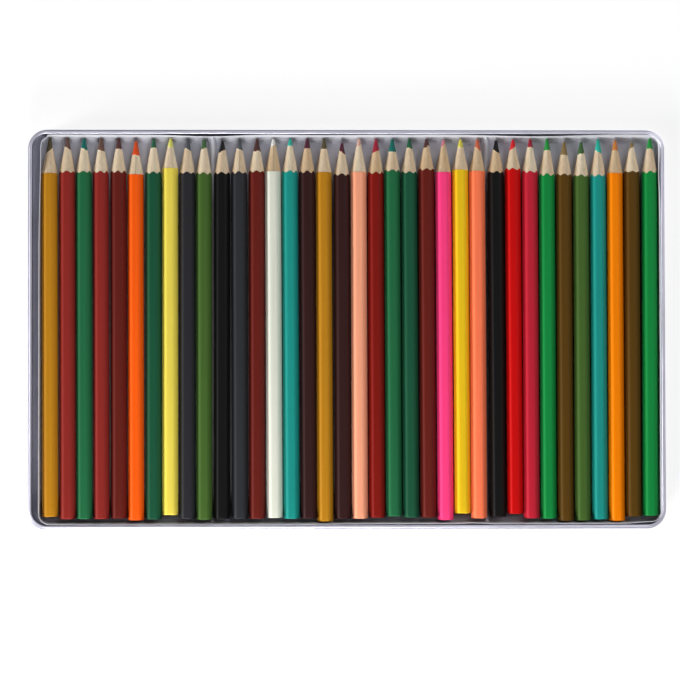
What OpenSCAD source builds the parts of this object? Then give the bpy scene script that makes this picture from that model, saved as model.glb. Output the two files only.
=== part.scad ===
// Flat metal tin of thirty-six coloured pencils, open, with its slip-over lid upturned beneath it.
// Millimetres. X runs along the long side of the tin, Y towards the pencil points, Z up.
// The origin is the middle of the face that the tin stands on, the flat panel of the upturned lid.

/* [Pencils] */
// Height of a pencil over its flats
pencil_flat = 6.9; // [6.5:0.1:7.2]
// How far each of the six corners is rounded down
corner_trim = 0.23; // [0.15:0.01:0.45]
// Free space between neighbouring pencils
pencil_gap = 0.4; // [0.3:0.05:1.2]
// Distance from the rearmost point to the frontmost end of the row
pencil_span = 177.5; // [150:0.5:190]
// Diameter of the coloured lead
lead_d = 3.3; // [2.6:0.1:3.8]
// Thickness of the glue film between the lead and the wood
glue_film = 0.03; // [0.02:0.01:0.05]
// Half angle of the sharpened cone, in degrees
cone_angle = 11.8; // [10:0.1:14]
// Diameter of the blunted point of the lead
point_d = 0.7; // [0.5:0.1:1.2]
// Small bevel round the cut end
end_bevel = 0.2; // [0.1:0.05:0.4]

/* [Liner] */
// Thickness of the formed plastic sheet
liner_t = 0.3; // [0.2:0.05:0.5]
// How far each wall leans outwards from its foot to its edge
liner_draft = 0.5; // [0.2:0.1:1.2]
// Height of the liner's edge above the pencils
head_room = 0.5; // [0.3:0.1:4]
// Corner radius inside the foot of the walls
foot_corner = 3.5; // [3:0.1:5]
// Corner radius outside the upper edge
edge_corner = 5.6; // [5:0.1:7]
// Least free space between the liner's corners and the rolled rim as it is lifted out
corner_clear = 0.15; // [0.1:0.05:0.3]
// Free space beside the first and the last pencil, at the floor
side_play = 0.2; // [0.1:0.05:0.5]
// Free space before the longest pencils and behind them, at the floor
end_play = 0.2; // [0.2:0.05:0.6]
// Extra space between two pencils where a rib stands
rib_room = 0.5; // [0.2:0.1:1.5]
// Height of the two ribs above the floor
rib_h = 2.4; // [1.5:0.1:2.8]
// Length of the buttress where a rib climbs the rear wall
buttress_l = 11; // [6:0.5:12]
// Width of that buttress
buttress_w = 1.4; // [1.2:0.1:1.8]
// Radius of the ribs' rounded crest
rib_crest = 0.5; // [0.4:0.05:0.6]
// Free space between a rib and the pencils beside it
rib_clear = 0.25; // [0.2:0.05:0.5]

/* [Tray] */
// Thickness of the tinplate of the tray and the lid
sheet = 0.25; // [0.2:0.01:0.35]
// Diameter of the rolled rim, which curls inwards
curl_d = 1.3; // [1.1:0.1:1.8]
// Outer corner radius of the tray
tray_corner = 8.1; // [7.5:0.1:9]
// Gap between the rim and the liner on the left
gap_left = 3; // [0.4:0.1:4]
// Gap between the rim and the liner on the right
gap_right = 0.5; // [0.4:0.1:2]
// Gap between the rim and the liner at the rear
gap_rear = 0.5; // [0.35:0.05:2]
// Gap between the rim and the liner at the front
gap_front = 0.7; // [0.35:0.05:2]
// Height of the rim above the liner's edge
rim_step = 0.25; // [0:0.05:1]
// Outer radius of the fold between floor and wall
press_r = 1.5; // [1:0.1:2]
// Width of the flat border round the sunk panel
panel_border = 4.2; // [3.5:0.1:5]
// Depth of the panel pressed into the tray's floor and the lid's top
panel_step = 0.4; // [0.2:0.05:0.6]

/* [Lid] */
// Slip clearance between the tray's wall and the lid, each side
lid_gap = 0.25; // [0.2:0.01:0.4]
// How far the lid's hem lies below the tray's rim
lid_drop = 2.4; // [1:0.1:4]
// Height of the folded hem
hem_h = 2; // [1:0.1:3]
// How far the tray stands forward of the middle of the lid
tray_forward = 0.1; // [0:0.02:0.12]

/* [Hidden] */
$fn = 64;
fit_gap = 0.15;                 // between stacked pieces that rest on each other
skin = 0.01;                    // thickness of the slabs that a loft joins
past = 1;                       // how far a cutter runs past what it cuts

// The row, left to right: name, colour, setback of the point, setback of the cut end
pencils = [
    ["ochre", "ochre", 0.1, 0], ["brick_red", "brick", 0.1, 1.3],
    ["leaf_green", "leaf", 0.2, 1.3], ["brick_red", "brick", 0.1, 1.3],
    ["maroon", "maroon", 0, 1.6], ["orange", "orange", 1.6, 0.7],
    ["fir_green", "fir", 0.4, 1.1], ["lemon_yellow", "lemon", 0.2, 3.1],
    ["charcoal", "charcoal", 0.5, 1.3], ["grass_green", "grass", 0.7, 0.9],
    ["black", "black", 1.1, 1.3], ["slate_blue", "slate", 0.4, 1.3],
    ["red_brown", "russet", 0.4, 1.3], ["white", "white", 0.2, 1.7],
    ["teal", "teal", 0.4, 1.3], ["plum_brown", "plum", 0, 1.3],
    ["ochre", "ochre", 0.1, 0], ["plum_brown", "plum", 2.3, 1.2],
    ["peach", "peach", 0.4, 1.3], ["dark_red", "garnet", 0.4, 1.7],
    ["leaf_green", "leaf", 0.4, 2.3], ["fir_green", "fir", 0.2, 1.7],
    ["red_brown", "russet", 0.4, 1.7], ["hot_pink", "pink", 1, 0.6],
    ["golden_yellow", "gold", 0.4, 3.6], ["coral", "coral", 0.5, 1.3],
    ["black", "black", 1.1, 1.9], ["scarlet", "scarlet", 0.7, 3.4],
    ["crimson", "crimson", 0.4, 1.3], ["bright_green", "bright", 0.2, 1.1],
    ["umber", "umber", 1.7, 0], ["olive_green", "grass", 1.7, 0.2],
    ["teal", "teal", 0.5, 0.7], ["amber", "amber", 0.9, 0],
    ["umber", "umber", 1.9, 2], ["bright_green", "bright", 0, 1.6]
];
// The lacquers by name, red, green and blue from 0 to 1
lacquers = [
    ["ochre", [0.74, 0.52, 0.13]], ["brick", [0.56, 0.17, 0.15]], ["leaf", [0.13, 0.42, 0.26]],
    ["maroon", [0.39, 0.12, 0.1]], ["orange", [0.98, 0.4, 0.08]], ["fir", [0.11, 0.33, 0.23]],
    ["lemon", [0.9, 0.83, 0.33]], ["charcoal", [0.16, 0.17, 0.18]], ["grass", [0.28, 0.4, 0.2]],
    ["black", [0.1, 0.1, 0.1]], ["slate", [0.19, 0.2, 0.22]], ["russet", [0.38, 0.14, 0.12]],
    ["white", [0.88, 0.88, 0.81]], ["teal", [0.15, 0.57, 0.52]], ["plum", [0.22, 0.11, 0.11]],
    ["peach", [0.95, 0.65, 0.5]], ["garnet", [0.49, 0.12, 0.09]], ["pink", [0.99, 0.28, 0.5]],
    ["gold", [0.92, 0.75, 0.16]], ["coral", [0.99, 0.49, 0.33]], ["scarlet", [0.78, 0.08, 0.08]],
    ["crimson", [0.75, 0.17, 0.22]], ["bright", [0.09, 0.52, 0.25]], ["umber", [0.34, 0.24, 0.09]],
    ["amber", [0.92, 0.51, 0.02]]
];
// A rib stands after each of these pencils, counted from the left
rib_after = [10, 26];

// The pencil's section
pencil_w = pencil_flat / cos(30) - 2 * corner_trim;
flat_w = pencil_flat * tan(30);
cone_l = (pencil_w - point_d) / 2 / tan(cone_angle);
lead_cone_l = (lead_d - point_d) / 2 / tan(cone_angle);

// The row of pencils
last = len(pencils) - 1;
pitch = pencil_w + pencil_gap;
row_l = pencil_w + last * pitch + len(rib_after) * rib_room;
function ribs_before(i) = len([for (n = rib_after) if (i >= n) n]);
function pencil_x(i) = liner_x - row_l / 2 + pencil_w / 2 + i * pitch + ribs_before(i) * rib_room;
function rib_x(n) = (pencil_x(n - 1) + pencil_x(n)) / 2;

// The liner's bay at the floor, and the liner outside its upper edge
bay_l = row_l + 2 * side_play;
bay_w = pencil_span + 2 * end_play;
liner_l = bay_l + 2 * (liner_draft + liner_t);
liner_w = bay_w + 2 * (liner_draft + liner_t);

// The tray inside its rolled rim, and outside
mouth_l = liner_l + gap_left + gap_right;
mouth_w = liner_w + gap_rear + gap_front;
tray_l = mouth_l + 2 * curl_d;
tray_w = mouth_w + 2 * curl_d;
liner_x = (gap_left - gap_right) / 2;
liner_y = (gap_front - gap_rear) / 2 - tray_forward;

// The lid outside its wall, without the hem
lid_l = tray_l + 2 * (lid_gap + sheet);
lid_w = tray_w + 2 * (lid_gap + sheet);
lid_corner = tray_corner + lid_gap + sheet;

// Heights, from the ground up
tray_z = panel_step + sheet + fit_gap;
liner_z = tray_z + panel_step + sheet + fit_gap;
floor_z = liner_z + liner_t;
pencil_z = floor_z + fit_gap + pencil_flat / 2;
edge_z = pencil_z + pencil_flat / 2 + head_room;
rim_z = edge_z + rim_step;
lid_z = rim_z - lid_drop;

// The least outer corner radius with which the liner, that far inside the rim, passes the
// rim's own rounded corners on its way out
mouth_corner = tray_corner - curl_d;
least_gap = min(gap_left, gap_right, gap_rear, gap_front);
function passing_corner(gap) = mouth_corner - (sqrt(2) * gap - corner_clear) / (sqrt(2) - 1);
foot_r = max(foot_corner + liner_t, passing_corner(least_gap + liner_draft));
edge_r = max(edge_corner, passing_corner(least_gap));

// The liner's wall at a height: how far it leans out, and its inner corner radius
foot_fold = 0.2;
function rise(z) = (z - floor_z - foot_fold) / (edge_z - floor_z - foot_fold);
function lean(z) = liner_draft * rise(z);
function wall_corner(z) = foot_r + (edge_r - foot_r) * rise(z) - liner_t;

// The first and last pencils stop short of the liner's rounded corners, at rest and as they
// are lifted, when their widest part passes each height up to the edge
function free_side(z) = max(wall_corner(z) - side_play - lean(z), 0);
function corner_reach(z) = sqrt(max(pow(wall_corner(z) - fit_gap, 2) - pow(free_side(z), 2), 0));
function stop_at(z) = wall_corner(z) - corner_reach(z) - lean(z) - end_play;
corner_stop = max(stop_at(pencil_z), stop_at((pencil_z + edge_z) / 2), stop_at(edge_z));
function end_stop(i) = (i == 0 || i == last) ? max(pencils[i][3], corner_stop) : pencils[i][3];
function point_y(i) = liner_y + pencil_span / 2 - pencils[i][2];
function end_y(i) = liner_y - pencil_span / 2 + end_stop(i);

function two_digits(n) = n < 10 ? str("0", n) : str(n);
function lacquer(i) = lacquers[search([pencils[i][1]], lacquers)[0]][1];
pencil_nodes = [for (i = [0 : last]) str("pencil_", two_digits(i + 1), "_", pencils[i][0])];

// A rounded rectangle made from one section: x outwards from the corner's axis, y upwards
module round_corners(l, w, r) {
    for (k = [0 : 3]) {
        across = (k == 0 || k == 3) ? 1 : -1;
        along = k < 2 ? 1 : -1;
        translate([across * (l / 2 - r), along * (w / 2 - r), 0])
            rotate([0, 0, 90 * k])
                rotate_extrude(angle = 90)
                    children();
    }
}

module straight_sides(l, w, r) {
    for (k = [0 : 3]) {
        reach = (k % 2 == 0 ? l : w) / 2 - r;
        run = (k % 2 == 0 ? w : l) - 2 * r;
        rotate([0, 0, 90 * k])
            translate([reach, 0, 0])
                rotate([90, 0, 0])
                    linear_extrude(run, center = true)
                        children();
    }
}

module pressed_pan(l, w, r, panel_z) {
    round_corners(l, w, r) children();
    straight_sides(l, w, r) children();
    translate([r - l / 2, r - w / 2, panel_z])
        cube([l - 2 * r, w - 2 * r, sheet]);
}

// Section of a pressed floor: the panel, its slanting step, the border, the fold and the wall
module pan_section(r, z, panel_z, top_z) {
    step_out = r - panel_border;
    step_in = step_out - 2 * panel_step;
    translate([0, panel_z])
        square([step_in, sheet]);
    polygon([[step_in, panel_z], [step_out, z], [step_out, z + sheet], [step_in, panel_z + sheet]]);
    translate([step_out, z])
        square([panel_border - press_r, sheet]);
    translate([r - press_r, z + press_r])
        intersection() {
            difference() {
                circle(press_r);
                circle(press_r - sheet);
            }
            translate([0, -press_r])
                square(press_r);
        }
    translate([r - sheet, z + press_r])
        square([sheet, top_z - z - press_r]);
}

// Three quarters of a turn of sheet, curled inwards from the top of the wall
module curl_section(r) {
    translate([r - curl_d / 2, rim_z - curl_d / 2])
        difference() {
            circle(curl_d / 2);
            circle(curl_d / 2 - sheet);
            translate([0, -curl_d])
                square(curl_d);
        }
}

// The sheet folded back on itself, outside the top of the lid's wall
module hem_section(r) {
    translate([r, lid_z - sheet - hem_h]) {
        square([sheet, hem_h]);
        translate([0, hem_h])
            intersection() {
                circle(sheet);
                translate([-sheet, 0])
                    square([2 * sheet, sheet]);
            }
    }
}

module lid() {
    color([0.8, 0.81, 0.85])
        pressed_pan(lid_l, lid_w, lid_corner, 0) {
            pan_section(lid_corner, panel_step, 0, lid_z - sheet);
            hem_section(lid_corner);
        }
}

module tray() {
    panel_z = tray_z + panel_step;
    color([0.83, 0.84, 0.88])
        translate([0, -tray_forward, 0])
            pressed_pan(tray_l, tray_w, tray_corner, panel_z) {
                pan_section(tray_corner, tray_z, panel_z, rim_z - curl_d / 2);
                curl_section(tray_corner);
            }
}

// One level of the liner's tapering pan, as four thin discs at its corners
module level(l, w, r, z) {
    for (side = [-1, 1], end = [-1, 1])
        translate([side * (l / 2 - r), end * (w / 2 - r), z])
            cylinder(h = skin, r = r, $fn = 32);
}

// The space inside the liner, grown by a wall thickness all round and downwards
module bay_form(grow, top) {
    hull() {
        level(bay_l - 2 * foot_fold + 2 * grow, bay_w - 2 * foot_fold + 2 * grow,
            foot_r - liner_t - foot_fold + grow, floor_z - grow);
        level(bay_l + 2 * grow, bay_w + 2 * grow,
            foot_r - liner_t + grow, floor_z + foot_fold - grow);
        level(bay_l + 2 * lean(top) + 2 * grow, bay_w + 2 * lean(top) + 2 * grow,
            wall_corner(top) + grow, top - skin);
    }
}

// A hollow rib that stands between two pencils, and the buttress where it climbs the rear wall
module rib_form(inset) {
    half_gap = (pitch + rib_room - flat_w) / 2;
    foot_w = 2 * (half_gap - rib_clear - inset / cos(30));
    rib_l = bay_w + liner_t - 4 * inset;
    crest_r = rib_crest - inset;
    foot_z = -past * inset;
    hull() {
        translate([-foot_w / 2, -rib_l / 2, foot_z])
            cube([foot_w, rib_l, -foot_z + skin]);
        translate([0, rib_l / 2, rib_h - rib_crest])
            rotate([90, 0, 0])
                cylinder(h = rib_l, r = crest_r, $fn = 24);
    }
    butt_w = buttress_w - 2 * inset;
    butt_l = buttress_l - 2 * inset;
    high_z = pencil_flat + fit_gap - inset - butt_w / 2;
    hull() {
        translate([-butt_w / 2, rib_l / 2 - butt_l, foot_z])
            cube([butt_w, butt_l, -foot_z + skin]);
        translate([0, rib_l / 2 - butt_l + past, rib_h - rib_crest])
            rotate([90, 0, 0])
                cylinder(h = past, r = butt_w / 2, $fn = 24);
        translate([0, rib_l / 2 + lean(floor_z + high_z), high_z])
            rotate([90, 0, 0])
                cylinder(h = past, r = butt_w / 2, $fn = 24);
    }
}

module liner() {
    color([0.72, 0.71, 0.74])
        difference() {
            union() {
                difference() {
                    translate([liner_x, liner_y, 0])
                        bay_form(liner_t, edge_z);
                    translate([liner_x, liner_y, 0])
                        bay_form(0, edge_z + past);
                }
                for (n = rib_after)
                    translate([rib_x(n), liner_y, floor_z - liner_t / 2])
                        rib_form(0);
            }
            for (n = rib_after)
                translate([rib_x(n), liner_y, floor_z - liner_t / 2])
                    rib_form(liner_t);
        }
}

// Lays a form that stands on its cut end down, with its point towards the rear
module lay(i) {
    translate([pencil_x(i), end_y(i), pencil_z])
        rotate([-90, 0, 0])
            children();
}

module pencil(i) {
    length = point_y(i) - end_y(i);
    body_r = pencil_w / 2;
    lead_r = lead_d / 2;
    wood_end = length - (lead_d + 2 * glue_film - point_d) / 2 / tan(cone_angle);
    color(lacquer(i))
        lay(i)
            difference() {
                intersection() {
                    linear_extrude(wood_end)
                        circle(pencil_flat / 2 / cos(30), $fn = 6);
                    rotate_extrude()
                        polygon([
                            [0, 0], [body_r - end_bevel, 0], [body_r, end_bevel],
                            [body_r, length - cone_l], [point_d / 2, length], [0, length]
                        ]);
                }
                translate([0, 0, -past])
                    cylinder(h = length + 2 * past, r = lead_r + glue_film);
            }
    color(lacquer(i) * 0.8)
        lay(i)
            rotate_extrude()
                polygon([
                    [0, 0], [lead_r, 0], [lead_r, length - lead_cone_l],
                    [point_d / 2, length], [0, length]
                ]);
}

lid();
tray();
liner();
for (i = [0 : last])
    pencil(i);
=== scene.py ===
"""The looks of an open tin of thirty-six coloured pencils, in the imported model's frame."""
import math

import bmesh
import bpy
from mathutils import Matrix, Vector, noise


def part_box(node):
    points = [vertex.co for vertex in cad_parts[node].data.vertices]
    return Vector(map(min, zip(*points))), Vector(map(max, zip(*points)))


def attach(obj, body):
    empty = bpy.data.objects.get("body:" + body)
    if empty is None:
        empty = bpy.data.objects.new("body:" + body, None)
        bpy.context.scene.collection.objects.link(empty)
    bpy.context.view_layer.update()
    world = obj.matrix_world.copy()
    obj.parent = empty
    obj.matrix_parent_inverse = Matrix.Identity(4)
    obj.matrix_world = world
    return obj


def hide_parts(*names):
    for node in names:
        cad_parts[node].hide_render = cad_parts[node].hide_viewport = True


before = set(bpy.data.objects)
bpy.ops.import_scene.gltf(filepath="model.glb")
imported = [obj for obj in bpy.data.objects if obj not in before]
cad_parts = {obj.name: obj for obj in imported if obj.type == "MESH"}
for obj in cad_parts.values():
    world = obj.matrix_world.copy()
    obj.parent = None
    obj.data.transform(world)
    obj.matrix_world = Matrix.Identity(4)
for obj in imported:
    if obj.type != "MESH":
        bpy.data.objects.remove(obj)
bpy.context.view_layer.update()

MM = 0.001
QUARTER = math.radians(90)

# ---------------------------------------------------------------- the pencils, in millimetres

EDGE_ROUND = 1.6            # radius of the hexagon's rounded edges
FLAT_STEPS = 4              # mesh steps across one flat
CORNER_STEPS = 7            # mesh steps round one edge
POINT_R = 0.55              # radius of the worn point
POINT_DOME = ((0.04, 0.5), (0.14, 0.82))    # its rings: place, and share of that radius
CONE_START = 0.34           # where the dome passes into the cone
POINT_OFF = 0.3             # how far the points stand to the right of their pencils
CONE_ROUNDNESS = 4          # how late the round cone takes on the hexagon's shape
LEAD_MIN = 0.9              # the shortest that the bare lead gets anywhere
WOOD_STEP = 0.03            # how far the wood begins behind and below the lead's surface
SCALLOP = 0.6               # how far the lacquer's edge follows the section, from 0 to 1
LACQUER_T = 0.06            # thickness of the lacquer where it ends on the wood
LEAD_R = 1.65               # radius of the lead at the cut end
END_BEVEL = 0.28            # bevel round the cut end
WOBBLE_TURN = 2.2           # how far through the noise an uneven edge goes round
WOBBLE_STEP = 3.7           # how far apart two neighbours' edges lie in it

# How uneven an edge is, and which layer of the noise it follows
LEAD_WOBBLE = (0.5, 0.0)
STRAIGHT_WOBBLE = (0.12, 5.0)
SCALLOP_WOBBLE = (0.35, 9.0)

# Where the mesh has rings: shares of the lead's cone, of the bare wood and of the whole length
LEAD_RINGS = (0.35, 0.7, 1.0)
WOOD_RINGS = (0.06, 0.2, 0.35, 0.5, 0.65, 0.8, 0.92, 1.0)
BODY_RINGS = (0.235, 0.37, 0.55, 0.73, 0.865, 0.973)

# The rounded start of the lacquer: place behind its edge, and how much of its thickness is
# missing there
LACQUER_RINGS = ((0.02, 0.6), (0.1, 0.15), (0.3, 0.0))

# The bevel: place before the cut end, and how far it lies inside the flats
BEVEL_RINGS = ((END_BEVEL + 0.25, 0.0), (END_BEVEL, 0.03), (0.0, END_BEVEL))

# ---------------------------------------------------------------- the liner, in millimetres

LINER_T = 0.3               # thickness of the sheet
FOOT_FOLDS = {"rear": 2.6, "front": 0.8, "side": 1.2}   # radii between the floor and the walls
FOLD_STEPS = 6              # mesh steps up such a fold
FOOT_CORNER = 3.2           # corner radius inside the foot of the wall
EDGE_CORNER = 5.6           # corner radius outside the upper edge
CORNER_POINTS = 12          # mesh steps round a corner, along a long side and along a short side
LONG_POINTS = 60
SHORT_POINTS = 40
WALL_RINGS = (0.35, 0.5, 0.65, 0.8, 0.92, 0.985)        # shares of the wall's height
LIP_RINGS = ((0.3, 0.0), (0.8, 0.04))   # the upper edge: share of the thickness, and drop
LINER_DRAFT = 0.5           # lean of the walls from foot to edge
RIGHT_OUT = 0.4             # how far the right wall stands out
LEFT_DROP = 0.5             # how much lower the left wall's edge is

# Where the thin wall is pushed in or, below 0, out: the side, the place along it from the
# liner's middle, the reach and the depth
DENTS = (
    ("rear", -120, 40, -0.25), ("rear", -65, 15, 0.65), ("rear", -38, 14, -0.25),
    ("rear", 12, 25, -0.2), ("rear", 45, 18, -0.3), ("rear", 87, 20, 0.45),
    ("rear", 128, 24, -0.45),
    ("front", -90, 75, -0.58), ("front", -35, 35, -0.28), ("front", 57, 5, 0.45),
    ("front", 80, 60, -0.4), ("front", 137, 4.5, 0.8),
    ("right", 72, 9, 0.5), ("left", 85, 26, 0.9),
)
DENT_ZONE = 3.0             # how near to a side a point is, for that side's dents to move it
DENT_RISE = 1.6             # power by which the dents fade from the edge down to the floor
WAVE_DEPTH = 0.05           # depth of the slow waves all along the walls
WAVE_SCALE = 0.02           # the noise that makes them: its scale per millimetre and its layer
WAVE_LAYER = 4.0

# The hollow ribs
RIB_AFTER = (10, 26)        # the pencils on whose right they stand
RIB_H = 1.3                 # height above the floor
RIB_TOP = 3.8               # height at the rear and the front wall
RIB_CLIMB = 9.0             # length of the climb to the rear wall, and how sharply it turns up
RIB_CLIMB_POWER = 1.4
RIB_FRONT_CLIMB = 2.2       # the same for the front wall
RIB_FRONT_POWER = 1.5
RIB_FOOT = 1.9              # half the width at the floor
RIB_CREST = 0.9             # half the width along the crest
RIB_INTO_REAR = 0.25        # how far the ends reach into the walls
RIB_INTO_FRONT = 0.1

# Half the ribs' section, from foot to crest: place from the middle, height, and what share of
# the rib's height is added to that
RIB_SECTION = (
    (RIB_FOOT + 0.5, 0.0, 0.0), (RIB_FOOT, 0.12, 0.0), (RIB_FOOT * 0.62, 0.0, 0.36),
    (RIB_CREST, 0.0, 0.82), (RIB_CREST * 0.5, 0.0, 0.96),
)

# Where the ribs have a section: places from the front end, and back from the rear end
RIB_FROM_FRONT = (0.0, 0.35, 0.8, 1.4, RIB_FRONT_CLIMB, 40.0)
RIB_FROM_REAR = (40.0, 13.0, 12.0, 10.8, 9.6, 8.4, 7.2, 6.0, 4.8, 3.6, 2.4, 1.2, 0.0)

# ---------------------------------------------------------------- the view, in millimetres

# The photograph's view: almost straight down, from far away
VIEW_AT = (-3.3, -5.0, 5.5)         # the point in the middle of the frame
VIEW_DISTANCE = 1200.0
VIEW_TURN = (1.7, -1.2, -0.08)      # turned about X, Y and Z from straight down, in degrees
VIEW_WIDTH = 314.8                  # width of the frame there
SENSOR = 36.0

# ---------------------------------------------------------------- light and floor, in metres

CLIP_START, CLIP_END = 0.05, 20.0   # the nearest and the farthest that the camera sees

# The lamps round the table: compass angle from the front, positive to the right, and elevation,
# both in degrees, then distance and diameter, and the light that each one gives to level
# surfaces, of which 1 would show pure white as white
LAMPS = {
    "front": (-11, 22, 0.58, 0.20, 0.34),
    "rear_right": (135, 35, 2.0, 2.1, 0.38),
    "low_left": (-72, 15, 2.0, 0.65, 0.26),
}

ROOM_COLOUR = (0.93, 0.94, 1.0, 1.0)
ROOM_LIGHT = 0.055          # light from all round on the object
ROOM_EDGE = 0.8             # how bright the walls and the ceiling show in metal and lacquer
ROOM_TOP = 0.14
ROOM_FADE = (0.25, 0.95)    # sines of the elevations where the walls end and the ceiling begins

FLOOR_REACH = 1.6           # from the middle to each side
FLOOR_COLOUR = 0.3          # what the floor gives back of the lamps' light, shadows and all
FLOOR_GLOW = 0.77           # what is added for the camera, up to nearly white
FLOOR_ROUGHNESS = 0.9
FLOOR_SPECULAR = 0.1

# ---------------------------------------------------------------- colours, as they look on a screen

WHITE = (1.0, 1.0, 1.0)

LACQUERS = {
    "ochre": (0.73, 0.50, 0.11), "brick": (0.55, 0.165, 0.145), "leaf": (0.14, 0.41, 0.255),
    "maroon": (0.39, 0.125, 0.10), "orange": (0.98, 0.37, 0.07), "fir": (0.11, 0.325, 0.225),
    "lemon": (0.92, 0.84, 0.33), "charcoal": (0.17, 0.17, 0.185), "grass": (0.27, 0.39, 0.17),
    "black": (0.08, 0.075, 0.075), "slate": (0.185, 0.19, 0.205), "russet": (0.40, 0.125, 0.10),
    "white": (0.87, 0.88, 0.82), "teal": (0.12, 0.57, 0.53), "plum": (0.205, 0.11, 0.11),
    "peach": (0.98, 0.65, 0.51), "garnet": (0.50, 0.095, 0.07), "pink": (1.0, 0.26, 0.51),
    "gold": (0.93, 0.76, 0.12), "coral": (1.0, 0.49, 0.33), "scarlet": (0.78, 0.05, 0.05),
    "crimson": (0.745, 0.14, 0.21), "bright": (0.08, 0.53, 0.245), "umber": (0.345, 0.24, 0.07),
    "amber": (0.96, 0.51, 0.01),
}

LEADS = {
    "olive": (0.34, 0.30, 0.21), "nut": (0.41, 0.29, 0.25), "sea": (0.06, 0.42, 0.38),
    "sepia": (0.32, 0.19, 0.18), "flame": (0.86, 0.30, 0.09), "pine": (0.13, 0.37, 0.25),
    "lime": (0.87, 0.86, 0.42), "ash": (0.33, 0.345, 0.36), "moss": (0.25, 0.40, 0.23),
    "soot": (0.055, 0.05, 0.055), "chalk": (0.90, 0.90, 0.88), "mint": (0.17, 0.70, 0.62),
    "wine": (0.32, 0.11, 0.18), "salmon": (0.88, 0.70, 0.63), "ruby": (0.62, 0.13, 0.21),
    "rose": (0.85, 0.48, 0.55), "straw": (0.85, 0.81, 0.31), "clay": (0.80, 0.39, 0.28),
    "cherry": (0.87, 0.14, 0.17), "clover": (0.15, 0.57, 0.25), "khaki": (0.53, 0.44, 0.27),
    "rust": (0.79, 0.49, 0.23),
}

WOODS = {"pale": (0.905, 0.84, 0.73), "plain": (0.87, 0.79, 0.675), "tan": (0.835, 0.73, 0.59)}
WOOD_BANDS = (0.97, 0.93, 0.88)     # tint of the grain's darker bands
SEAM_SHADE = 0.86                   # how dark a casing's glued seam is beside its wood
# Sawn end grain, darker than the sharpened wood: partly its own colour, partly painted shade for
# the shadowed gap before the liner's front wall
END_GRAIN_AND_SHADE = (0.60, 0.49, 0.38)
END_GROWTH = (0.88, 0.84, 0.8)      # tint of its growth rings
TINT_SHARE = 0.8                    # how strongly these two tints show

# The tray's and the lid's tinplate: colour and roughness, and how far that varies up and down
# The lid's tinplate is the tray's metal made lighter: painted light, so that the lid's hem beside
# the tray's rim shows pale
TINPLATES = {"tray": ((0.785, 0.78, 0.825), 0.48), "lid": ((0.83, 0.83, 0.87), 0.44)}
TIN_SPREAD = 0.06

# The liner: its plastic where it is darkest, where it is palest and on the floor, the height at
# which the floor's colour starts to fade and ends, in metres, and the tint of its specks of dust
LINER_DARK = (0.80, 0.805, 0.84)
LINER_PALE = (0.84, 0.845, 0.87)
LINER_FLOOR = (0.815, 0.82, 0.865)
LINER_FLOOR_TOP = (0.0021, 0.0034)
LINER_SPECKS = (0.93, 0.91, 0.9)

# Painted shade on the floor and the ribs under the pencils, where their shadow falls between
# them: its tint, and where it starts to fade and ends behind the lacquer, before the cut ends
# and above the floor, in metres
PAINTED_SHADE_TINT = (0.70, 0.68, 0.67)
PAINTED_SHADE_REAR = (0.058, 0.069)
PAINTED_SHADE_FRONT = (-0.0855, -0.0875)
PAINTED_SHADE_TOP = (0.0038, 0.0042)

# ---------------------------------------------------------------- the row of pencils

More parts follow.
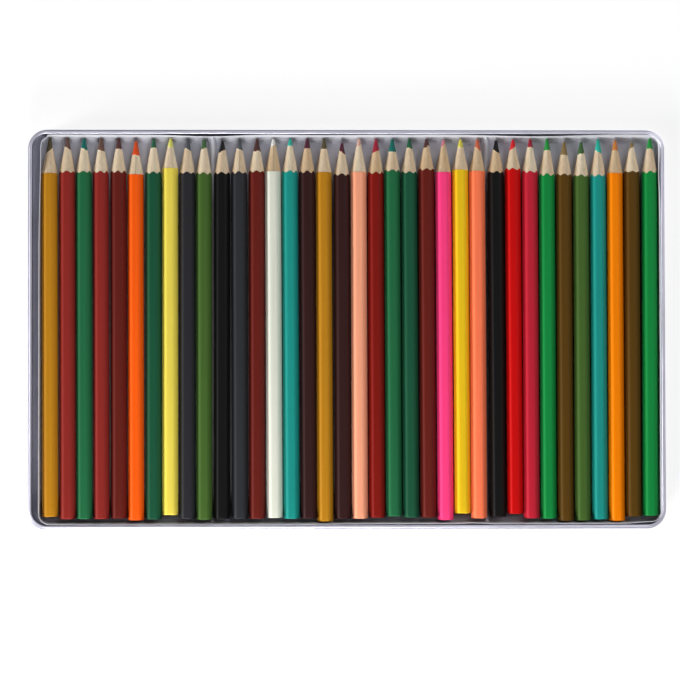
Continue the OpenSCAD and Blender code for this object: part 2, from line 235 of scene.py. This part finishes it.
# lacquer, lead, wood, how the lacquer ends, length of the cone, length of the lead, and how
# much longer the lead is on the right than in the middle
ROW = (
    ("ochre", "olive", "plain", "straight", 16.5, 6.0, -1.4),
    ("brick", "nut", "plain", "scalloped", 15.5, 4.7, 0.9),
    ("leaf", "sea", "pale", "scalloped", 15.5, 5.0, 0.8),
    ("brick", "nut", "pale", "scalloped", 15.5, 5.9, 0.5),
    ("maroon", "sepia", "pale", "scalloped", 15.5, 5.2, 0.0),
    ("orange", "flame", "pale", "straight", 15.5, 6.5, 0.2),
    ("fir", "pine", "pale", "scalloped", 15.5, 4.3, 0.0),
    ("lemon", "lime", "pale", "straight", 14.0, 4.2, 0.0),
    ("charcoal", "ash", "plain", "scalloped", 15.5, 5.0, 0.8),
    ("grass", "moss", "pale", "scalloped", 15.5, 4.2, -0.5),
    ("black", "soot", "plain", "scalloped", 15.0, 5.1, -0.9),
    ("slate", "ash", "plain", "scalloped", 15.5, 5.0, 0.6),
    ("russet", "sepia", "pale", "scalloped", 15.0, 5.9, 0.0),
    ("white", "chalk", "tan", "straight", 15.5, 3.5, -0.7),
    ("teal", "mint", "pale", "scalloped", 15.0, 3.3, 0.0),
    ("plum", "wine", "tan", "scalloped", 15.5, 4.9, 0.0),
    ("ochre", "olive", "plain", "straight", 16.0, 5.0, 0.0),
    ("plum", "wine", "plain", "scalloped", 14.5, 4.5, 1.0),
    ("peach", "salmon", "pale", "straight", 15.5, 3.3, -0.9),
    ("garnet", "ruby", "tan", "scalloped", 15.5, 6.1, -1.0),
    ("leaf", "sea", "plain", "scalloped", 14.5, 6.1, 0.0),
    ("fir", "pine", "plain", "scalloped", 15.5, 4.6, 0.3),
    ("russet", "sepia", "tan", "scalloped", 14.0, 3.7, -1.0),
    ("pink", "rose", "tan", "straight", 15.0, 2.2, -1.2),
    ("gold", "straw", "plain", "straight", 14.5, 4.0, 0.0),
    ("coral", "clay", "tan", "straight", 15.0, 4.6, 1.2),
    ("black", "soot", "tan", "scalloped", 14.5, 5.1, 1.0),
    ("scarlet", "cherry", "plain", "scalloped", 13.5, 4.2, -1.2),
    ("crimson", "ruby", "pale", "scalloped", 15.0, 3.8, 0.0),
    ("bright", "clover", "plain", "scalloped", 16.5, 5.5, 0.0),
    ("umber", "khaki", "plain", "scalloped", 15.0, 6.2, 0.0),
    ("grass", "moss", "pale", "scalloped", 15.5, 5.7, -0.4),
    ("teal", "mint", "plain", "scalloped", 16.5, 5.9, 0.8),
    ("amber", "rust", "tan", "straight", 15.5, 4.9, 0.0),
    ("umber", "khaki", "pale", "scalloped", 13.5, 2.5, -0.9),
    ("bright", "clover", "plain", "scalloped", 15.5, 5.1, 0.3),
)

# Pencils on whose cones the glued seam of the casing's two halves shows
SEAMED = (6, 12, 14, 33)

# Loose pencils lie a little askew: the first and the last pencil of a run, how far the run lies
# to the right of its place, and how much further its cut ends lie to the right
ASKEW = (
    (1, 1, 0.25, 0.35), (2, 2, 0.45, 0.3), (3, 4, 0.2, 0.3), (5, 6, 0.4, 0.25),
    (7, 7, 0.6, 0.15), (8, 9, 0.45, 0.1), (10, 10, 0.25, 0.15), (11, 11, 0.15, 0.0),
    (12, 12, 0.35, 0.25), (13, 13, 0.45, 0.1), (14, 14, 0.4, 0.4), (15, 16, 0.3, 0.4),
    (17, 17, 0.1, 0.3), (18, 20, 0.4, 0.25), (21, 22, 0.2, 0.35), (23, 25, 0.3, 0.4),
    (26, 26, 0.1, 0.27), (27, 28, 0.45, 0.4), (29, 31, 0.32, 0.2), (32, 34, 0.35, 0.2),
    (35, 35, 0.15, 0.15), (36, 36, 0.45, -0.1),
)

PENCIL_NODES = sorted(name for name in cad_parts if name.startswith("pencil_"))


# ---------------------------------------------------------------- nodes and meshes

NOISE_BULK = (0.3, 0.7)     # between these lie most of a noise's values


def linear(colour):
    """A colour written as it looks on a screen, as the shader's linear values."""
    values = (c / 12.92 if c <= 0.04045 else ((c + 0.055) / 1.055) ** 2.4 for c in colour)
    return (*values, 1.0)


def toned(colour, share):
    """The colour made darker, or, with a share over 1, lighter."""
    return tuple(c * share for c in colour)


class Nodes:
    """A node tree, with short calls that add nodes and wire them."""

    def __init__(self, tree):
        self.tree = tree

    def node(self, kind, **values):
        """A new node: each value goes to its input, or else its setting, of that name."""
        made = self.tree.nodes.new(kind)
        for key, value in values.items():
            if key in made.inputs:
                made.inputs[key].default_value = value
            else:
                setattr(made, key, value)
        return made

    def feed(self, value, socket):
        """Gives an input its value, which is another node's output, a number or a colour."""
        if isinstance(value, bpy.types.NodeSocket):
            self.tree.links.new(value, socket)
        else:
            socket.default_value = value

    def combine(self, operation, first, second):
        """The result of a Math node on two values."""
        made = self.node("ShaderNodeMath", operation=operation)
        self.feed(first, made.inputs[0])
        self.feed(second, made.inputs[1])
        return made.outputs[0]

    def remap(self, source, before, after, interpolation="LINEAR"):
        """The source's values from before[0] to before[1], spread from after[0] to after[1]."""
        spread = self.node("ShaderNodeMapRange", interpolation_type=interpolation)
        names = ("From Min", "From Max", "To Min", "To Max")
        for name, value in zip(names, (*before, *after)):
            spread.inputs[name].default_value = value
        self.feed(source, spread.inputs["Value"])
        return spread.outputs["Result"]

    def fade(self, source, full, gone):
        """1 up to the source's value full, then down to 0 at gone."""
        return self.remap(source, (full, gone), (1.0, 0.0))

    def seen_share(self):
        """1 on what the camera sees directly, in a mirror or through glass, and otherwise 0."""
        path = self.node("ShaderNodeLightPath")
        share = path.outputs["Is Camera Ray"]
        for ray in ("Is Glossy Ray", "Is Transmission Ray"):
            share = self.combine("MAXIMUM", share, path.outputs[ray])
        return share


class Shader(Nodes):
    """A new material with one Principled shader."""

    def __init__(self, name, roughness, specular, metallic=0.0):
        self.material = bpy.data.materials.new(name)
        self.material.use_nodes = True
        super().__init__(self.material.node_tree)
        self.shader = self.tree.nodes["Principled BSDF"]
        self.set("Roughness", roughness)
        self.set("Specular IOR Level", specular)
        self.set("Metallic", metallic)

    def set(self, name, value):
        self.feed(value, self.shader.inputs[name])

    def place(self, scale=(1, 1, 1)):
        """Object coordinates stretched along each axis."""
        coordinates = self.node("ShaderNodeTexCoord")
        mapping = self.node("ShaderNodeMapping")
        mapping.inputs["Scale"].default_value = scale
        self.feed(coordinates.outputs["Object"], mapping.inputs["Vector"])
        return mapping.outputs["Vector"]

    def noise(self, scale, detail, roughness=0.5):
        """Cloudy noise, with the scale per metre along X, Y and Z."""
        texture = self.node("ShaderNodeTexNoise", Scale=1.0, Detail=detail, Roughness=roughness)
        self.feed(self.place(scale), texture.inputs["Vector"])
        return texture.outputs["Fac"]

    def ramp(self, source, *stops):
        """Colours for the source's values: each stop is a value and a colour."""
        ramp = self.node("ShaderNodeValToRGB")
        elements = ramp.color_ramp.elements
        while len(elements) < len(stops):
            elements.new(0.5)
        for element, (position, colour) in zip(elements, stops):
            element.position = position
            element.color = linear(colour)
        self.feed(source, ramp.inputs["Fac"])
        return ramp.outputs["Color"]

    def tones(self, source, colour, *stops):
        """One colour made darker and lighter: each stop is a value and a share."""
        return self.ramp(source, *((position, toned(colour, share)) for position, share in stops))

    def mix(self, share, first, second, blend="MIX"):
        """The first colour, with that share of the second in it."""
        mix = self.node("ShaderNodeMix", data_type="RGBA", blend_type=blend)
        self.feed(share, mix.inputs[0])
        self.feed(first, mix.inputs[6])
        self.feed(second, mix.inputs[7])
        return mix.outputs[2]

    def bump(self, height, strength, distance):
        bump = self.node("ShaderNodeBump", Strength=strength, Distance=distance)
        self.feed(height, bump.inputs["Height"])
        self.set("Normal", bump.outputs["Normal"])

    def vary_roughness(self, source, low, high):
        self.set("Roughness", self.remap(source, NOISE_BULK, (low, high)))


def ring_quads(first, second):
    """The corners of each face between two rings of points."""
    for step in range(len(first)):
        after = (step + 1) % len(first)
        yield first[step], first[after], second[after], second[step]


def as_object(mesh, name, *materials):
    """Turns a bmesh into an object of that name, and frees it."""
    data = bpy.data.meshes.new(name)
    mesh.to_mesh(data)
    mesh.free()
    for material in materials:
        data.materials.append(material)
    made = bpy.data.objects.new(name, data)
    bpy.context.collection.objects.link(made)
    return made


# ---------------------------------------------------------------- materials

def lacquer_material(name, colour):
    """Dipped gloss lacquer: faint streaks along the pencil, fine scuffs, a soft orange peel."""
    shader = Shader("lacquer_" + name, roughness=0.44, specular=0.09)
    streaks = shader.noise((500, 12, 500), detail=2.0)
    scuffs = shader.noise((2600, 500, 2600), detail=6.0, roughness=0.7)
    peel = shader.noise((300, 40, 300), detail=2.0)
    shader.set("Base Color", shader.tones(streaks, colour, (0.3, 0.975), (0.5, 1.0), (0.72, 1.015)))
    shader.vary_roughness(scuffs, low=0.37, high=0.52)
    shader.bump(peel, strength=0.02, distance=0.0001)
    return shader.material


def wood_material(name, colour):
    """Sharpened wood: grain that runs along the pencil, pores and a cutter's fine rings."""
    shader = Shader("wood_" + name, roughness=0.72, specular=0.25)
    grain = shader.noise((2300, 90, 2300), detail=5.0, roughness=0.6)
    bands = shader.noise((420, 14, 420), detail=2.0)
    rings = shader.noise((150, 3600, 150), detail=2.0)
    fibre = shader.tones(grain, colour, (0.28, 0.9), (0.5, 1.0), (0.75, 1.03))
    tint = shader.ramp(bands, (0.35, WOOD_BANDS), (0.65, WHITE))
    shader.set("Base Color", shader.mix(TINT_SHARE, fibre, tint, "MULTIPLY"))
    shader.vary_roughness(grain, low=0.62, high=0.82)
    shader.bump(shader.mix(0.5, grain, rings), strength=0.18, distance=0.00008)
    return shader.material


def end_grain_and_shade_material():
    """Sawn end of the casing: rough, with open pores, darker than the sharpened cone partly as end
    grain is and partly as painted shade.
    """
    shader = Shader("end_grain_and_shade", roughness=0.85, specular=0.2)
    pores = shader.noise((5200, 5200, 5200), detail=5.0, roughness=0.7)
    growth = shader.noise((500, 500, 1500), detail=2.0)
    dots = shader.tones(pores, END_GRAIN_AND_SHADE, (0.34, 0.7), (0.5, 1.0), (0.75, 1.1))
    tint = shader.ramp(growth, (0.35, END_GROWTH), (0.65, WHITE))
    shader.set("Base Color", shader.mix(TINT_SHARE, dots, tint, "MULTIPLY"))
    shader.vary_roughness(pores, low=0.75, high=0.95)
    shader.bump(pores, strength=0.4, distance=0.0001)
    return shader.material


def lead_material(name, colour):
    """Waxy coloured lead, with fine rings left by the sharpener."""
    shader = Shader("lead_" + name, roughness=0.55, specular=0.2)
    crumbs = shader.noise((3200, 3200, 3200), detail=4.0)
    rings = shader.noise((300, 5200, 300), detail=2.0)
    shader.set("Base Color", shader.tones(crumbs, colour, (0.3, 0.86), (0.6, 1.0), (0.85, 1.08)))
    shader.vary_roughness(crumbs, low=0.42, high=0.62)
    shader.bump(shader.mix(0.6, crumbs, rings), strength=0.3, distance=0.00008)
    return shader.material


def liner_material():
    """Thin formed plastic: satin, slightly uneven, with specks of dust and painted shade on the
    floor under the pencils.
    """
    shader = Shader("liner_plastic", roughness=0.6, specular=0.25)
    cloud = shader.noise((60, 60, 60), detail=3.0)
    dust = shader.noise((1500, 700, 1500), detail=6.0, roughness=0.75)
    waves = shader.noise((60, 60, 60), detail=1.0)
    place = shader.node("ShaderNodeSeparateXYZ")
    shader.feed(shader.place(), place.inputs["Vector"])
    on_floor = shader.fade(place.outputs["Z"], *LINER_FLOOR_TOP)
    # Painted shade: the floor and ribs below the pencils' height, from behind the lacquer to before
    # the cut ends, are darkened where the pencils' shadow lies
    painted_shade = shader.fade(place.outputs["Z"], *PAINTED_SHADE_TOP)
    for ends in (PAINTED_SHADE_REAR, PAINTED_SHADE_FRONT):
        painted_shade = shader.combine("MULTIPLY", painted_shade, shader.fade(place.outputs["Y"], *ends))
    clean = shader.ramp(cloud, (0.3, LINER_DARK), (0.7, LINER_PALE))
    specks = shader.ramp(dust, (0.6, WHITE), (0.8, LINER_SPECKS))
    toned_floor = shader.mix(on_floor, clean, linear(LINER_FLOOR))
    dusty = shader.mix(1.0, toned_floor, specks, "MULTIPLY")
    # The painted shade darkens the dusty plastic under the pencils
    shader.set("Base Color", shader.mix(painted_shade, dusty, linear(PAINTED_SHADE_TINT), "MULTIPLY"))
    shader.vary_roughness(cloud, low=0.5, high=0.68)
    shader.bump(waves, strength=0.06, distance=0.0004)
    return shader.material


def tinplate_material(name, colour, rough):
    """Bright drawn tinplate: brushed along the long side, lightly clouded and scuffed."""
    shader = Shader("tinplate_" + name, roughness=rough, specular=0.5, metallic=1.0)
    brushed = shader.noise((40, 2600, 2600), detail=4.0)
    cloud = shader.noise((45, 45, 45), detail=4.0)
    shader.set("Base Color", shader.tones(cloud, colour, (0.3, 0.96), (0.5, 1.0), (0.7, 1.02)))
    both = shader.mix(0.5, brushed, cloud)
    shader.vary_roughness(both, low=rough - TIN_SPREAD, high=rough + TIN_SPREAD)
    shader.bump(brushed, strength=0.05, distance=0.0001)
    return shader.material


# ---------------------------------------------------------------- pencils

def hexagon_rays(inradius):
    """Angle and radius of each point round a hexagon with rounded edges, its flat upwards."""
    side_turn, half_turn = math.radians(60), math.radians(30)
    core = inradius - EDGE_ROUND
    flat_end = math.atan2(core * math.tan(half_turn), inradius)
    centre = core / math.cos(half_turn)
    rays = []
    for side in range(6):
        base = side_turn * side
        for step in range(FLAT_STEPS):
            turn = flat_end * (2 * step / FLAT_STEPS - 1)
            rays.append((base + turn, inradius / math.cos(turn)))
        for step in range(CORNER_STEPS):
            turn = flat_end + (side_turn - 2 * flat_end) * step / CORNER_STEPS
            off = half_turn - turn
            round_part = math.sqrt(EDGE_ROUND ** 2 - (centre * math.sin(off)) ** 2)
            rays.append((base + turn, centre * math.cos(off) + round_part))
    return rays


LACQUER, WOOD, LEAD, END_WOOD, SEAM = range(5)      # a pencil's material slots


class Pencil:
    """One pencil's mesh, built in rings from the point to the cut end.

    Distances are in millimetres from the point. A ring is made from one pair for each of the
    hexagon's rays: its distance from the point and its radius."""

    def __init__(self, index, node):
        low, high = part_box(node)
        self.index, self.node = index, node
        self.lacquer, self.lead, self.wood, ending, self.cone, self.lead_l, self.slant = ROW[index]
        self.straight = ending == "straight"
        self.seam = FLAT_STEPS // 2 if index + 1 in SEAMED else None
        shift, self.yaw = next(run[2:] for run in ASKEW if run[0] <= index + 1 <= run[1])
        self.x = (low[0] + high[0]) / 2 / MM + shift
        self.z = (low[2] + high[2]) / 2 / MM
        self.tip_y = high[1] / MM
        self.length = self.tip_y - low[1] / MM
        self.inradius = (high[2] - low[2]) / 2 / MM
        self.rays = hexagon_rays(self.inradius)
        self.slope = (self.inradius - POINT_R) / self.cone
        self.mesh = bmesh.new()
        self.last = None                # the ring that the next one is joined to

    def wobble(self, angle, size, layer):
        """A smooth uneven edge: the same at the start and the end of the turn."""
        across, up = math.cos(angle) * WOBBLE_TURN, math.sin(angle) * WOBBLE_TURN
        return size * noise.noise(Vector((across, up, self.index * WOBBLE_STEP + layer)))

    def lead_end(self, angle):
        """Where the lead ends and the wood begins."""
        edge = self.lead_l + self.slant * math.sin(angle) + self.wobble(angle, *LEAD_WOBBLE)
        return max(edge, LEAD_MIN)

    def lacquer_end(self, angle, reach):
        """Where the wood ends and the lacquer begins."""
        if self.straight:
            return self.cone + self.wobble(angle, *STRAIGHT_WOBBLE)
        scallop = SCALLOP * (reach - self.inradius) / self.slope
        return self.cone + scallop + self.wobble(angle, *SCALLOP_WOBBLE)

    def cone_reach(self, away, angle, reach):
        """The cone's radius at a distance from the point: round, then as the hexagon."""
        end = self.lacquer_end(angle, reach)
        share = min(away / end, 1.0) ** CONE_ROUNDNESS
        swell = share * (reach - POINT_R - end * self.slope)
        return min(POINT_R + away * self.slope + swell, reach)

    def axis_x(self, away):
        """Where the pencil's axis runs, that far from the point."""
        lean = self.yaw * (2 * away / self.length - 1)
        return self.x + lean + POINT_OFF * max(1 - away / self.cone, 0)

    def ring(self, places):
        ring = []
        for (angle, _), (away, radius) in zip(self.rays, places):
            across = self.axis_x(away) + radius * math.sin(angle)
            spot = Vector((across, self.tip_y - away, self.z + radius * math.cos(angle)))
            ring.append(self.mesh.verts.new(spot * MM))
        return ring

    def grow(self, material, places):
        """Adds a ring, and the faces between the last one and it."""
        ring = self.ring(places)
        for step, corners in enumerate(ring_quads(self.last, ring)):
            face = self.mesh.faces.new(corners)
            face.material_index = SEAM if material == WOOD and step == self.seam else material
            face.smooth = True
        self.last = ring

    def cap(self, away, material, facing_point):
        """Closes the last ring, round a point on the axis."""
        centre = self.mesh.verts.new(Vector((self.axis_x(away), self.tip_y - away, self.z)) * MM)
        for here, after in zip(self.last, self.last[1:] + self.last[:1]):
            corners = (centre, after, here) if facing_point else (centre, here, after)
            face = self.mesh.faces.new(corners)
            face.material_index = material
            face.smooth = facing_point

    def circle(self, away, radius):
        """The places of a plain round ring."""
        return [(away, radius)] * len(self.rays)

    def worn_point(self):
        tip, *dome = [(away, POINT_R * share) for away, share in POINT_DOME]
        self.last = self.ring(self.circle(*tip))
        self.cap(0.0, LEAD, facing_point=True)
        for away, radius in (*dome, (CONE_START, POINT_R + CONE_START * self.slope)):
            self.grow(LEAD, self.circle(away, radius))

    def on_lead(self, angle, reach, share):
        away = CONE_START + (self.lead_end(angle) - CONE_START) * share
        return away, self.cone_reach(away, angle, reach)

    def wood_foot(self, angle, reach):
        away = self.lead_end(angle) + WOOD_STEP
        return away, self.cone_reach(away, angle, reach) - WOOD_STEP

    def on_wood(self, angle, reach, share):
        begin = self.lead_end(angle) + WOOD_STEP
        away = begin + (self.lacquer_end(angle, reach) - begin) * share
        sunk = LACQUER_T if share == 1.0 else 0.0
        return away, self.cone_reach(away, angle, reach) - sunk

    def sharpened_cone(self):
        for share in LEAD_RINGS:
            self.grow(LEAD, [self.on_lead(*ray, share) for ray in self.rays])
        self.grow(WOOD, [self.wood_foot(*ray) for ray in self.rays])
        for share in WOOD_RINGS:
            self.grow(WOOD, [self.on_wood(*ray, share) for ray in self.rays])

    def lacquered_body(self):
        for behind, missing in LACQUER_RINGS:
            sunk = LACQUER_T * missing
            self.grow(LACQUER, [(self.lacquer_end(angle, reach) + behind, reach - sunk)
                                for angle, reach in self.rays])
        rings = [(self.length * share, 0.0) for share in BODY_RINGS]
        rings += [(self.length - before, inset) for before, inset in BEVEL_RINGS]
        for away, inset in rings:
            self.grow(LACQUER, [(away, reach - inset) for _, reach in self.rays])

    def cut_end(self):
        self.grow(END_WOOD, self.circle(self.length, LEAD_R))
        self.cap(self.length, LEAD, facing_point=False)

    def object(self, *materials):
        self.worn_point()
        self.sharpened_cone()
        self.lacquered_body()
        self.cut_end()
        bmesh.ops.recalc_face_normals(self.mesh, faces=self.mesh.faces)
        return as_object(self.mesh, self.node + "_look", *materials)


def make_pencils():
    lacquers = {name: lacquer_material(name, colour) for name, colour in LACQUERS.items()}
    leads = {name: lead_material(name, colour) for name, colour in LEADS.items()}
    woods = {name: wood_material(name, colour) for name, colour in WOODS.items()}
    seams = {name: wood_material(name + "_seam", toned(colour, SEAM_SHADE))
             for name, colour in WOODS.items()}
    end_grain_and_shade = end_grain_and_shade_material()
    for index, node in enumerate(PENCIL_NODES):
        pencil = Pencil(index, node)
        piece = pencil.object(lacquers[pencil.lacquer], woods[pencil.wood], leads[pencil.lead],
                              end_grain_and_shade, seams[pencil.wood])
        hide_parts(node)
        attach(piece, node)


# ---------------------------------------------------------------- liner

class Liner:
    """The formed sheet: a drafted pan whose walls are a little wavy, with two hollow ribs."""

    def __init__(self):
        low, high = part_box("liner")
        edge_l = (high[0] - low[0]) / MM + RIGHT_OUT
        edge_w = (high[1] - low[1]) / MM
        box_middle = Vector(((low[0] + high[0]) / 2, (low[1] + high[1]) / 2)) / MM
        self.middle = box_middle + Vector((RIGHT_OUT / 2, 0))
        self.floor_z = low[2] / MM + LINER_T
        self.edge_z = high[2] / MM
        self.foot_l = edge_l - 2 * (LINER_DRAFT + LINER_T)
        self.foot_w = edge_w - 2 * (LINER_DRAFT + LINER_T)
        self.mesh = bmesh.new()

    def outline(self, grow, radius):
        """Points and outward normals round the grown foot, as many for every size."""
        length, width = self.foot_l + 2 * grow, self.foot_w + 2 * grow
        points = []
        for quarter in range(4):
            turn = QUARTER * quarter
            across = 1 if quarter in (0, 3) else -1
            along = 1 if quarter < 2 else -1
            centre = Vector((across * (length / 2 - radius), along * (width / 2 - radius)))
            for step in range(CORNER_POINTS + 1):
                angle = turn + QUARTER * step / CORNER_POINTS
                normal = Vector((math.cos(angle), math.sin(angle)))
                points.append((centre + normal * radius, normal))
            side, steps = ((length, LONG_POINTS), (width, SHORT_POINTS))[quarter % 2]
            way = Vector((-math.sin(turn + QUARTER), math.cos(turn + QUARTER)))
            start, normal = points[-1]
            run = side - 2 * radius
            points += [(start + way * (run * step / steps), normal) for step in range(1, steps)]
        return points

    def dent(self, spot):
        """How far the upper edge has been pushed inwards, as a stretched thin sheet is."""
        x, y = spot
        wave = noise.noise(Vector((x * WAVE_SCALE, y * WAVE_SCALE, WAVE_LAYER)))
        inwards = WAVE_DEPTH * wave
        outside = {"rear": y - self.foot_w / 2, "front": -y - self.foot_w / 2,
                   "right": x - self.foot_l / 2, "left": -x - self.foot_l / 2}
        for side, place, reach, depth in DENTS:
            across = x if side in ("rear", "front") else y
            if outside[side] > -DENT_ZONE:
                inwards += depth * math.exp(-((across - place) / reach) ** 2)
        return inwards

    def fold(self, normal):
        """The radius between the floor and the wall that faces that way."""
        ends = FOOT_FOLDS["rear"] if normal.y > 0 else FOOT_FOLDS["front"]
        return FOOT_FOLDS["side"] + (ends - FOOT_FOLDS["side"]) * normal.y ** 2

    def point(self, x, y, z):
        return self.mesh.verts.new(Vector((x, y, z)) * MM)

    def wall_ring(self, rise, outwards, height):
        """One ring of points on a wall; rise runs from 0 at the foot to 1 at the edge."""
        corner = FOOT_CORNER + (EDGE_CORNER - LINER_T - FOOT_CORNER) * rise + outwards
        ring = []
        for spot, normal in self.outline(LINER_DRAFT * rise + outwards, corner):
            pushed = spot - normal * (self.dent(spot) * rise ** DENT_RISE)
            lowered = LEFT_DROP * rise * max(-normal.x, 0) ** 2
            ring.append(self.point(*(self.middle + pushed), height - lowered))
        return ring

    def fold_ring(self, turn, grow):
        """One ring of points on the fold; turn runs from 0 on the floor to QUARTER on the wall."""
        ring = []
        for spot, normal in self.outline(grow, FOOT_CORNER + grow):
            radius = self.fold(normal) + grow
            rise = radius * (1 - math.cos(turn))
            share = rise / (self.edge_z - self.floor_z)
            moved = spot - normal * (radius * (1 - math.sin(turn)) - LINER_DRAFT * share)
            ring.append(self.point(*(self.middle + moved), self.floor_z - grow + rise))
        return ring

    def shell(self):
        """The sheet: up on the inside from the floor, round the edge and down on the outside."""
        deep = self.edge_z - self.floor_z
        turns = [QUARTER * step / FOLD_STEPS for step in range(FOLD_STEPS + 1)]
        walls = [(share, self.floor_z + deep * share) for share in WALL_RINGS]
        rings = [self.fold_ring(turn, 0.0) for turn in turns]
        rings += [self.wall_ring(share, 0.0, height) for share, height in walls]
        rings += [self.wall_ring(1.0, LINER_T * share, self.edge_z - drop)
                  for share, drop in LIP_RINGS]
        rings += [self.wall_ring(share, LINER_T, height) for share, height in reversed(walls[:-1])]
        rings += [self.fold_ring(turn, LINER_T) for turn in reversed(turns)]
        for first, second in zip(rings, rings[1:]):
            for corners in ring_quads(first, second):
                self.mesh.faces.new(corners).smooth = True
        self.mesh.faces.new(rings[0])
        self.mesh.faces.new(list(reversed(rings[-1])))

    def rib(self, x):
        """A ridge between two pencils that climbs the rear and the front wall, with a soft foot."""
        rear = self.middle.y + self.foot_w / 2 + RIB_INTO_REAR
        front = self.middle.y - self.foot_w / 2 - RIB_INTO_FRONT
        stations = [front + place for place in RIB_FROM_FRONT]
        stations += [self.middle.y]
        stations += [rear - place for place in RIB_FROM_REAR]
        strips = []
        for y in stations:
            climb = max(0.0, 1 - (rear - y) / RIB_CLIMB) ** RIB_CLIMB_POWER
            front_climb = max(0.0, 1 - (y - front) / RIB_FRONT_CLIMB) ** RIB_FRONT_POWER
            height = RIB_H + (RIB_TOP - RIB_H) * max(climb, front_climb)
            half = [(place, up + height * share) for place, up, share in RIB_SECTION]
            section = [(-place, up) for place, up in half] + [(0.0, height)] + half[::-1]
            strips.append([self.point(x + place, y, self.floor_z + up) for place, up in section])
        for first, second in zip(strips, strips[1:]):
            for step in range(len(first) - 1):
                corners = (first[step], second[step], second[step + 1], first[step + 1])
                self.mesh.faces.new(corners).smooth = True

    def object(self):
        self.shell()
        for after in RIB_AFTER:
            left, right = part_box(PENCIL_NODES[after - 1]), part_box(PENCIL_NODES[after])
            self.rib((left[1][0] + right[0][0]) / 2 / MM)
        bmesh.ops.recalc_face_normals(self.mesh, faces=self.mesh.faces)
        return as_object(self.mesh, "liner_look", liner_material())


def make_liner():
    piece = Liner().object()
    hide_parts("liner")
    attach(piece, "liner")


# ---------------------------------------------------------------- tinplate

def finish_tin():
    for name, (colour, rough) in TINPLATES.items():
        tinplate = tinplate_material(name, colour, rough)
        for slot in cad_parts[name].material_slots:
            slot.material = tinplate


# ---------------------------------------------------------------- floor, light and camera

def make_floor():
    """A pale floor that shows near white and keeps the tin's shadow."""
    floor_shader = Shader("pale_floor", FLOOR_ROUGHNESS, FLOOR_SPECULAR)
    floor_shader.set("Base Color", (FLOOR_COLOUR, FLOOR_COLOUR, FLOOR_COLOUR, 1.0))
    glow = floor_shader.node("ShaderNodeEmission")
    glow.inputs["Color"].default_value = (*WHITE, 1.0)
    strength = floor_shader.combine("MULTIPLY", floor_shader.seen_share(), FLOOR_GLOW)
    floor_shader.feed(strength, glow.inputs["Strength"])
    both = floor_shader.node("ShaderNodeAddShader")
    floor_shader.feed(floor_shader.shader.outputs[0], both.inputs[0])
    floor_shader.feed(glow.outputs[0], both.inputs[1])
    output = floor_shader.tree.nodes["Material Output"]
    floor_shader.feed(both.outputs[0], output.inputs["Surface"])
    mesh = bmesh.new()
    bmesh.ops.create_grid(mesh, x_segments=1, y_segments=1, size=FLOOR_REACH)
    floor = as_object(mesh, "floor", floor_shader.material)


def make_world():
    """A pale room with a darker ceiling, which lights the object only a little."""
    world = bpy.data.worlds.new("room")
    world.use_nodes = True
    room = Nodes(world.node_tree)
    back = room.tree.nodes["Background"]
    direction = room.node("ShaderNodeTexCoord")
    axes = room.node("ShaderNodeSeparateXYZ")
    room.feed(direction.outputs["Generated"], axes.inputs["Vector"])
    ceiling = room.remap(axes.outputs["Z"], ROOM_FADE, (ROOM_EDGE, ROOM_TOP), "SMOOTHSTEP")
    strength = room.node("ShaderNodeMix", data_type="FLOAT")
    room.feed(room.seen_share(), strength.inputs[0])
    room.feed(ROOM_LIGHT, strength.inputs[2])
    room.feed(ceiling, strength.inputs[3])
    room.feed(ROOM_COLOUR, back.inputs["Color"])
    room.feed(strength.outputs[0], back.inputs["Strength"])
    bpy.context.scene.world = world


def make_lights():
    for name, (compass, elevation, distance, size, share) in LAMPS.items():
        turn, rise = math.radians(compass), math.radians(elevation)
        data = bpy.data.lights.new(name, "AREA")
        data.shape = "DISK"
        data.size = size
        data.energy = share * math.pi ** 2 * distance ** 2 / math.sin(rise)
        lamp = bpy.data.objects.new(name, data)
        lamp.location = Vector((math.sin(turn) * math.cos(rise), -math.cos(turn) * math.cos(rise),
                                math.sin(rise))) * distance
        lamp.rotation_euler = (-lamp.location).to_track_quat("-Z", "Y").to_euler()
        bpy.context.collection.objects.link(lamp)


def make_camera():
    data = bpy.data.cameras.new("camera")
    data.sensor_width = SENSOR
    data.lens = SENSOR * VIEW_DISTANCE / VIEW_WIDTH
    data.clip_start = CLIP_START
    data.clip_end = CLIP_END
    camera = bpy.data.objects.new("camera", data)
    camera.rotation_euler = [math.radians(turn) for turn in VIEW_TURN]
    away = camera.rotation_euler.to_matrix() @ Vector((0, 0, VIEW_DISTANCE))
    camera.location = (Vector(VIEW_AT) + away) * MM
    bpy.context.collection.objects.link(camera)
    bpy.context.scene.camera = camera


bpy.context.scene.view_settings.view_transform = "Standard"
make_camera()
make_world()
make_lights()
make_floor()
finish_tin()
make_liner()
make_pencils()
